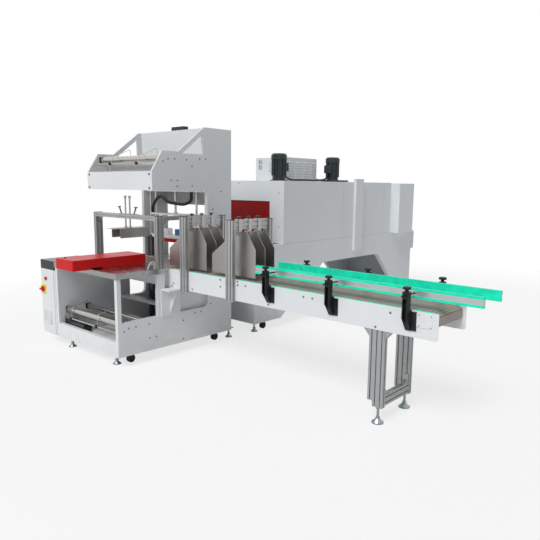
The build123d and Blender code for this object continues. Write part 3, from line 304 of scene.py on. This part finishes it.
def wave(tree, vector, axis, pitch, kind="SIN"):
    """Bands across one axis with the given pitch in metres."""
    n = tree.nodes.new("ShaderNodeTexWave")
    n.wave_type = "BANDS"
    n.bands_direction = axis
    n.wave_profile = kind
    n.inputs["Scale"].default_value = 2 * math.pi / (20 * pitch)
    n.inputs["Distortion"].default_value = 0.0
    link(tree, vector, n.inputs["Vector"])
    return n.outputs["Fac"]


def link_belt(name):
    """Beige-brown hinged modules: ribs along the run and a hinge line at each link, with lighter worn specks on the
    ribs; the dark brown between the ribs and along the hinge lines is painted shade in the grooves.
    """
    m, tree, bsdf = material(name)
    p = coords(tree)
    ribs = wave(tree, p, "X", 0.0125)
    hinge = wave(tree, p, "Y", 0.0159)
    rib = ramp_node(tree, ribs, 0.25, 0.7)
    row = ramp_node(tree, hinge, 0.12, 0.45)
    # Rib mask: 1 on the rib tops, 0 in the grooves and hinge lines; it sets the painted groove shade and the bump
    # relief.
    rib_relief_and_groove_shade = math_node(tree, "MULTIPLY", rib, row)
    speck = noise_node(tree, p, 260.0, 3, 0.6)
    cloud = noise_node(tree, p, 6.0, 4, 0.6)
    worn = mix_colour(tree, ramp_node(tree, speck, 0.3, 0.75), (0.47, 0.39, 0.35), (0.64, 0.60, 0.56))
    tone = mix_colour(tree, ramp_node(tree, cloud, 0.3, 0.7, 0.0, 0.5), worn, (0.55, 0.50, 0.47))
    # Painted shade: dark brown (0.21, 0.14, 0.12) in the grooves between the ribs and along the hinge lines.
    colour = mix_colour(tree, rib_relief_and_groove_shade, (0.21, 0.14, 0.12), tone)
    link(tree, colour, bsdf.inputs["Base Color"])
    link(tree, ramp_node(tree, speck, 0.2, 0.8, 0.42, 0.62), bsdf.inputs["Roughness"])
    n = tree.nodes.new("ShaderNodeBump")
    n.inputs["Strength"].default_value = 0.8
    n.inputs["Distance"].default_value = 0.002
    link(tree, rib_relief_and_groove_shade, n.inputs["Height"])
    link(tree, n.outputs[0], bsdf.inputs["Normal"])
    return m


def mesh_belt(name):
    """Woven wire belt of the tunnel: round wires along and across, with painted shade in the gaps between them."""
    m, tree, bsdf = material(name)
    p = coords(tree)
    along = wave(tree, p, "X", 0.011)
    across = wave(tree, p, "Y", 0.007)
    wire = math_node(tree, "MAXIMUM", ramp_node(tree, along, 0.55, 0.85), ramp_node(tree, across, 0.5, 0.8))
    soot = noise_node(tree, p, 5.0, 5, 0.7)
    bright = mix_colour(tree, ramp_node(tree, soot, 0.35, 0.7), (0.30, 0.28, 0.26), (0.46, 0.45, 0.44))
    # Painted shade: near-black (0.025) in the gaps between the wires, where the wire mask is low.
    link(tree, mix_colour(tree, wire, (0.025, 0.025, 0.025), bright), bsdf.inputs["Base Color"])
    link(tree, ramp_node(tree, wire, 0.0, 1.0, 0.8, 0.38), bsdf.inputs["Roughness"])
    link(tree, wire, bsdf.inputs["Metallic"])
    n = tree.nodes.new("ShaderNodeBump")
    n.inputs["Strength"].default_value = 0.7
    n.inputs["Distance"].default_value = 0.0015
    link(tree, wire, n.inputs["Height"])
    link(tree, n.outputs[0], bsdf.inputs["Normal"])
    return m


WHITE = (0.770, 0.790, 0.800)
RED = (0.640, 0.012, 0.014)
BLACK = (0.012, 0.012, 0.013)

FINISH = {
    "panel_white": paint("panel_white", WHITE),
    "tunnel_white": paint("tunnel_white", (0.750, 0.772, 0.785), 0.45, 0.2),
    "inside_grey": paint("inside_grey", (0.50, 0.515, 0.52), 0.5, 0.3),
    "cover_red": paint("cover_red", RED, 0.34, 0.0, 0.14, 0.05),
    "table_sheet": metal("table_sheet", (0.46, 0.445, 0.43), (6, 900, 900), 0.20, 0.25),
    "lane_sheet": metal("lane_sheet", (0.475, 0.465, 0.45), (900, 14, 700), 0.34, 0.35),
    "ground_chrome": metal("ground_chrome", (0.56, 0.54, 0.51), (900, 7, 900), 0.16, 0.25),
    "profile_up": metal("profile_up", (0.46, 0.47, 0.475), (800, 800, 5), 0.38, 0.2, 0.08, 0.75),
    "profile_along": metal("profile_along", (0.62, 0.63, 0.635), (500, 8, 700), 0.34, 0.2, 0.08, 0.8),
    "screw_steel": metal("screw_steel", (0.20, 0.205, 0.20), (120, 120, 120), 0.38, 0.35, 0.2),
    "zinc_feet": metal("zinc_feet", (0.36, 0.43, 0.45), (120, 120, 120), 0.30, 0.35, 0.2),
    "black_moulding": plastic("black_moulding", BLACK, 600.0, 0.42, 0.05),
    "black_gloss": plastic("black_gloss", (0.012, 0.012, 0.013), 300.0, 0.24, 0.02, 0.04, 0.4),
    "caster_black": plastic("caster_black", (0.014, 0.014, 0.014), 400.0, 0.5, 0.12),
    "mint_plastic": plastic("mint_plastic", (0.016, 0.86, 0.54), 500.0, 0.42, 0.0, 0.08, 0.12),
    "motor_paint": plastic("motor_paint", (0.026, 0.034, 0.037), 350.0, 0.34, 0.03, 0.2, 0.3),
    "drum_dark": plastic("drum_dark", (0.05, 0.05, 0.05), 300.0, 0.5, 0.15),
    "hose_rubber": plastic("hose_rubber", (0.014, 0.014, 0.015), 900.0, 0.4, 0.06),
    "curtain_red": plastic("curtain_red", (0.27, 0.009, 0.008), 240.0, 0.42, 0.0, 0.25, 0.12),
    "handle_red": plastic("handle_red", (0.72, 0.012, 0.008), 400.0, 0.3, 0.0, 0.05, 0.2),
    "belt_links": link_belt("belt_links"),
    "wire_belt": mesh_belt("wire_belt"),
}

FINISH["fittings"] = zoned("fittings", (0.52, 0.54, 0.55), [
    ((-40, 1240, 500), (0, 1400, 620), (0.92, 0.72, 0.02), 0.0),
    ((-40, 1240, 640), (0, 1400, 720), (0.50, 0.02, 0.03), 0.0),
    ((-40, 1140, 150), (0, 1400, 400), (0.70, 0.715, 0.72), 0.0),
    ((2600, 740, 1800), (2622, 860, 2000), (0.05, 0.045, 0.045), 0.0),
    ((2600, 400, 1700), (2622, 620, 2000), (0.62, 0.63, 0.63), 0.0)])
FINISH["clamp_mix"] = zoned("clamp_mix", BLACK, [
    ((515, 450, 1290), (580, 780, 1345.5), (0.55, 0.56, 0.56), 0.9)], 0.36)
FINISH["station_mix"] = zoned("station_mix", (0.66, 0.67, 0.67), [
    ((1050, 35, 95), (1210, 127, 1072), (0.055, 0.058, 0.060), 0.1),
    ((1050, 973, 95), (1210, 1065, 1072), (0.055, 0.058, 0.060), 0.1),
    ((1050, 125, 700), (1210, 975, 846), (0.22, 0.225, 0.23), 0.4)], 0.3, 0.9, 200.0)
FINISH["carriage_mix"] = zoned("carriage_mix", (0.60, 0.61, 0.61), [
    ((1090, 495, 1100.5), (1170, 570, 1170), (0.03, 0.16, 0.42), 0.0),
    ((1090, 685, 1100.5), (1170, 760, 1170), (0.55, 0.56, 0.57), 0.9)], 0.32, 0.85, 200.0)

WEARS = {
    "base_frame": "panel_white", "table_posts": "panel_white", "base_sides": "panel_white",
    "tower_shell": "panel_white", "head_sides": "panel_white", "head_panels": "panel_white",
    "cabinet": "panel_white", "conveyor_frame": "panel_white", "conveyor_bracket": "panel_white",
    "tunnel_chamber": "tunnel_white", "tunnel_hood": "tunnel_white", "tunnel_deck": "tunnel_white",
    "tunnel_pedestals": "tunnel_white", "tunnel_boxes": "tunnel_white",
    "table_top": "table_sheet", "lane_plates": "lane_sheet", "press_plate": "lane_sheet",
    "pusher_cover": "cover_red", "seal_skirt": "cover_red", "switch_knob": "handle_red",
    "film_roller_front": "ground_chrome", "film_roller_back": "ground_chrome", "head_roller": "ground_chrome",
    "film_hoops": "ground_chrome", "table_gantry": "profile_up", "lane_gantries": "profile_up",
    "leg_portal": "profile_up", "guide_rails": "profile_along", "seal_guides": "station_mix",
    "seal_bar": "carriage_mix", "roller_brackets": "black_moulding", "rail_brackets": "black_moulding",
    "film_motor": "motor_paint", "fan_motors": "motor_paint", "hand_clamps": "clamp_mix",
    "black_caps": "black_gloss", "cabinet_fittings": "fittings", "infeed_belt": "belt_links",
    "belt_drums": "drum_dark", "green_strips": "mint_plastic", "levelling_feet": "zinc_feet",
    "casters": "caster_black", "tunnel_curtains": "curtain_red", "tunnel_belt": "wire_belt",
    "hoses": "hose_rubber",
}


def dress(obj, look):
    obj.data.materials.clear()
    obj.data.materials.append(FINISH[look])


# Surfaces worked out from arrays
def add_mesh(name, verts, faces, look, smooth=False, body="line"):
    """A mesh from drawing millimetres and quads, riding on a body."""
    mesh = bpy.data.meshes.new(name)
    mesh.from_pydata(place(verts).tolist(), [], [tuple(int(i) for i in f) for f in faces])
    mesh.polygons.foreach_set("use_smooth", [smooth] * len(mesh.polygons))
    mesh.update()
    obj = bpy.data.objects.new(name, mesh)
    bpy.context.scene.collection.objects.link(obj)
    dress(obj, look)
    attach(obj, body)
    return obj


def grid_faces(rows, cols, closed):
    """Quads of a grid of rows by cols points; a closed grid also joins its last column to its first."""
    r = np.arange(rows - 1)[:, None]
    c = np.arange(cols if closed else cols - 1)[None, :]
    n = (c + 1) % cols
    quad = np.stack([r * cols + c, r * cols + n, (r + 1) * cols + n, (r + 1) * cols + c], -1)
    return quad.reshape(-1, 4)


def axes_for(direction):
    """Two unit vectors square to a direction, so that side, other side and direction turn right-handed."""
    d = np.asarray(direction, float)
    d = d / np.linalg.norm(d)
    helper = np.array([0.0, 0.0, 1.0]) if abs(d[2]) < 0.9 else np.array([1.0, 0.0, 0.0])
    a = np.cross(helper, d)
    a /= np.linalg.norm(a)
    return a, np.cross(d, a), d


def turned(profile, centre, direction, sides=16):
    """A turned form. Each profile point (radius, height) sweeps the circle
    centre + radius * (cos t * a + sin t * b) + height * direction, for t round one turn."""
    a, b, d = axes_for(direction)
    t = np.linspace(0, 2 * math.pi, sides, endpoint=False)
    r = np.array([p[0] for p in profile])[:, None, None]
    h = np.array([p[1] for p in profile])[:, None, None]
    ring = np.cos(t)[None, :, None] * a + np.sin(t)[None, :, None] * b
    verts = (np.asarray(centre, float) + r * ring + h * d).reshape(-1, 3)
    return verts, grid_faces(len(profile), sides, True)


def joined(parts):
    """Many meshes as one list of points and faces."""
    verts, faces, start = [], [], 0
    for v, f in parts:
        verts.append(np.asarray(v, float))
        faces += (np.asarray(f) + start).tolist()
        start += len(v)
    return np.concatenate(verts), faces


def block(x0, x1, y0, y1, z0, z1, edge=0.0):
    """A pad with chamfered outer corners: an eight-sided outline in Y and Z carried along X."""
    e = edge
    ring = [(y0 + e, z0), (y1 - e, z0), (y1, z0 + e), (y1, z1 - e), (y1 - e, z1), (y0 + e, z1), (y0, z1 - e), (y0, z0 + e)]
    verts = [(x, y, z) for x in (x0, x1) for y, z in ring]
    faces = [(k, (k + 1) % 8, 8 + (k + 1) % 8, 8 + k) for k in range(8)]
    ends = [(0, 7, 6, 1), (1, 6, 5, 2), (2, 5, 4, 3)]
    faces += ends + [tuple(8 + k for k in reversed(q)) for q in ends]
    return np.array(verts), faces


SCREW = [(0.0, 0.0), (1.0, 0.0), (1.0, 0.28), (0.88, 0.46), (0.58, 0.60), (0.36, 0.62), (0.33, 0.25), (0.0, 0.22)]
HEX_BOLT = [(0.0, 0.0), (1.35, 0.0), (1.35, 0.18), (1.0, 0.20), (1.0, 0.75), (0.86, 0.86), (0.0, 0.88)]


def screw_heads(name, spots, radius, look="screw_steel", profile=SCREW, sides=12, body="line"):
    """Screw heads at (point, direction): the head's turned profile scaled by its radius at each spot."""
    shape = [(r * radius, h * radius) for r, h in profile]
    v, f = joined([turned(shape, p, d, sides) for p, d in spots])
    return add_mesh(name, v, f, look, True, body)


NEAR, FRONT = (0, -1, 0), (-1, 0, 0)


def add_fasteners():
    """Screws and bolts of the sheet panels, at the places that the photograph shows."""
    side = [(525, 1850), (582, 1872), (660, 1874), (800, 1872), (964, 1888), (1040, 1887), (868, 1813),
            (613, 1676), (688, 1675), (682, 1623), (867, 1626), (1246, 1572), (1132, 1396), (1095, 434)]
    low = [(62, 331), (108, 356), (187, 356), (331, 355), (335, 221), (411, 221), (736, 319), (735, 135),
           (886, 371), (962, 370)]
    spots = [((x, 0, z), NEAR) for x, z in side + low]
    spots += [((x, 1100, z), (0, 1, 0)) for x, z in side]
    spots += [((508, 0, z), NEAR) for z in (613, 431)]
    screw_heads("panel_screws", spots, 7.5)
    corners = [((398, y, z), FRONT) for y in (38, 1062) for z in (1605, 1731)]
    screw_heads("head_bolts", corners, 9.5, profile=HEX_BOLT, sides=6)
    plate = [(-58, 716), (-34, 690), (-700, 828), (-700, 766), (-909, 838), (-915, 808), (-1003, 812), (-326, 694),
             (-1261, 693), (-1617, 809), (-1702, 808), (-2358, 806), (-2248, 690)]
    screw_heads("conveyor_screws", [((582, y, z), FRONT) for y, z in plate]
                + [((1012, y, z), (1, 0, 0)) for y, z in plate[2:]], 8.0)
    cover = [((578, y, z), FRONT) for y in (-2652, -2568) for z in (753, 827)]
    screw_heads("cover_screws", cover, 4.0)
    deck = [((x, -25, z), NEAR) for x in (5290, 5362) for z in (915, 785)]
    deck += [((x, 1125, z), (0, 1, 0)) for x in (5290, 5362) for z in (915, 785)]
    screw_heads("deck_screws", deck, 8.0)
    face = [(2205, 702, 1662), (2205, 51, 1551), (2205, 44, 1160), (2205, 1050, 1551), (2205, 1050, 1160)]
    screw_heads("chamber_screws", [(p, FRONT) for p in face], 7.0)
    blades = [(x, y, z) for y in (-240, -845) for x in (650, 768, 886) for z in (1222, 1238)]
    screw_heads("blade_bolts", [((x, y + s * 12, z), FRONT) for x, y, z in blades for s in (-1, 1)], 5.5,
                profile=HEX_BOLT, sides=6)
    posts = [((560, y + s * 20, z), FRONT) for y in (-240, -845) for s in (-1, 1) for z in (705, 812)]
    screw_heads("post_bolts", [((582 - 40 + 0, y, z), d) for (x, y, z), d in posts], 6.0)


def thread(x, y, z0, z1, radius, pitch=4.0):
    """Threaded stem: the radius swings between crest and root once per pitch up the stem."""
    count = int((z1 - z0) / pitch * 2)
    z = np.linspace(0, z1 - z0, count + 1)
    r = radius + 0.5 * np.where(np.arange(count + 1) % 2 == 0, 0.0, 1.0)
    return turned(list(zip(r, z)), (x, y, z0), (0, 0, 1), 12)


def add_foot_hardware():
    """Threads and lock nuts on the levelling feet."""
    feet = [(75, 150, 100), (75, 950, 100), (1427.5, 78, 100), (1427.5, 1022, 100),
            (1787, 35, 100), (1787, 1065, 100), (5235, 35, 100), (5235, 1065, 100),
            (606, -2281, 116), (988, -2281, 116)]
    nut = [(0, 0), (15.5, 0), (17, 1.5), (17, 9.5), (15.5, 11), (0, 11)]
    parts = [turned(nut, (x, y, top - 12), (0, 0, 1), 6) for x, y, top in feet]
    parts += [turned(nut, (x, y, 36), (0, 0, 1), 6) for x, y, top in feet]
    v, f = joined(parts)
    add_mesh("foot_nuts", v, f, "zinc_feet", False, "line")
    v, f = joined([thread(x, y, 46, top - 12, 9.0) for x, y, top in feet])
    add_mesh("foot_threads", v, f, "zinc_feet", True, "line")


def cap(x0, x1, y0, y1, z):
    """Moulded end cap of a profile: a thin plate with chamfered corners, laid on the profile's end."""
    e = 4.0
    ring = [(x0 + e, y0), (x1 - e, y0), (x1, y0 + e), (x1, y1 - e), (x1 - e, y1), (x0 + e, y1), (x0, y1 - e), (x0, y0 + e)]
    verts = [(x, y, h) for h in (z, z + 4.0) for x, y in ring]
    faces = [(k, (k + 1) % 8, 8 + (k + 1) % 8, 8 + k) for k in range(8)]
    ends = [(0, 7, 6, 1), (1, 6, 5, 2), (2, 5, 4, 3)]
    faces += ends + [tuple(8 + k for k in reversed(q)) for q in ends]
    return np.array(verts), faces


def add_caps():
    """Black caps on the tops of the gantry and lane posts."""
    parts = [cap(440, 520, 0, 40, 1345), cap(440, 520, 1040, 1080, 1345)]
    for y in (-240, -845):
        parts += [cap(542, 582, y - 40, y + 40, 1349), cap(1012, 1052, y - 40, y + 40, 1349)]
    v, f = joined(parts)
    add_mesh("post_caps", v, f, "black_moulding", False, "line")


def add_seams():
    """Joint lines of doors and panels: narrow dark strips, half a millimetre proud of the sheet."""
    parts = []
    for x in (3400, 4420):
        parts.append(block(x, x + 3, -25.6, -25, 975, 1690))
    parts.append(block(2205, 4626, -25.5, -25, 966, 970))
    parts.append(block(-8.6, -8, 1122, 1124.5, 100, 770))
    v, f = joined(parts)
    add_mesh("joint_lines", v, f, "inside_grey", False, "line")


def tube(path, radius, sides=10):
    """A bent wire: a circle of the given radius carried square to the path, point by point."""
    p = np.asarray(path, float)
    step = np.gradient(p, axis=0)
    step /= np.linalg.norm(step, axis=1)[:, None]
    helper = np.array([1.0, 0.0, 0.0]) if abs(step[:, 0]).max() < 0.9 else np.array([0.0, 1.0, 0.0])
    a = np.cross(step, helper)
    a /= np.linalg.norm(a, axis=1)[:, None]
    b = np.cross(step, a)
    t = np.linspace(0, 2 * math.pi, sides, endpoint=False)
    ring = np.cos(t)[None, :, None] * a[:, None] + np.sin(t)[None, :, None] * b[:, None]
    verts = (p[:, None] + radius * ring).reshape(-1, 3)
    faces = [(r * sides + c, (r + 1) * sides + c, (r + 1) * sides + (c + 1) % sides, r * sides + (c + 1) % sides)
             for r in range(len(p) - 1) for c in range(sides)]
    return verts, faces


def add_table_loop():
    """Bent wire loop beside the near gantry post, a leaning U of round wire."""
    t = np.linspace(0, math.pi, 25)
    y = 62 + 0 * t
    x = 412 - 34 * np.cos(t) + 20 * np.sin(t)
    z = 860 + 62 * np.sin(t) ** 0.8
    v, f = tube(np.stack([x, y, z], -1), 4.5)
    add_mesh("table_loop", v, f, "panel_white", True, "line")


def add_room():
    """Pale floor under a white surround, and plain soft light from the upper front."""
    half = 14.0
    mesh = bpy.data.meshes.new("floor")
    mesh.from_pydata([(-half, -half, 0), (half, -half, 0), (half, half, 0), (-half, half, 0)], [], [(0, 1, 2, 3)])
    floor = bpy.data.objects.new("floor", mesh)
    bpy.context.scene.collection.objects.link(floor)
    m, tree, bsdf = material("floor")
    bsdf.inputs["Base Color"].default_value = (0.86, 0.86, 0.86, 1)
    bsdf.inputs["Roughness"].default_value = 0.8
    glow = tree.nodes.new("ShaderNodeEmission")
    glow.inputs["Color"].default_value = (1, 1, 1, 1)
    glow.inputs["Strength"].default_value = 1.0
    path = tree.nodes.new("ShaderNodeLightPath")
    mix = tree.nodes.new("ShaderNodeMixShader")
    reach = tree.nodes.new("ShaderNodeVectorMath")
    reach.operation = "LENGTH"
    link(tree, coords(tree), reach.inputs[0])
    fade = ramp_node(tree, reach.outputs["Value"], 3.4, 7.0, 0.72, 1.0)
    link(tree, math_node(tree, "MULTIPLY", path.outputs["Is Camera Ray"], fade), mix.inputs[0])
    link(tree, bsdf.outputs[0], mix.inputs[1])
    link(tree, glow.outputs[0], mix.inputs[2])
    link(tree, mix.outputs[0], tree.nodes["Material Output"].inputs[0])
    mesh.materials.append(m)
    world = bpy.data.worlds.new("surround")
    bpy.context.scene.world = world
    world.use_nodes = True
    tree = world.node_tree
    back = tree.nodes["Background"]
    path = tree.nodes.new("ShaderNodeLightPath")
    seen = math_node(tree, "MAXIMUM", path.outputs["Is Camera Ray"], path.outputs["Is Glossy Ray"])
    seen = math_node(tree, "MAXIMUM", seen, path.outputs["Is Transmission Ray"])
    link(tree, mix_colour(tree, seen, (0.30, 0.308, 0.318), (1.0, 1.0, 1.0)), back.inputs[0])
    back.inputs[1].default_value = 1.0
    sun = bpy.data.lights.new("key", "SUN")
    sun.energy = 2.15
    sun.angle = math.radians(28)
    key = bpy.data.objects.new("key", sun)
    key.rotation_euler = Vector((-0.675, -0.09, 0.73)).to_track_quat("Z", "Y").to_euler()
    bpy.context.scene.collection.objects.link(key)


make_camera()
for name, look in WEARS.items():
    dress(nodes[name], look)
add_fasteners()
add_foot_hardware()
add_caps()
add_seams()
add_table_loop()
add_room()
bpy.context.scene.view_settings.view_transform = "Standard"
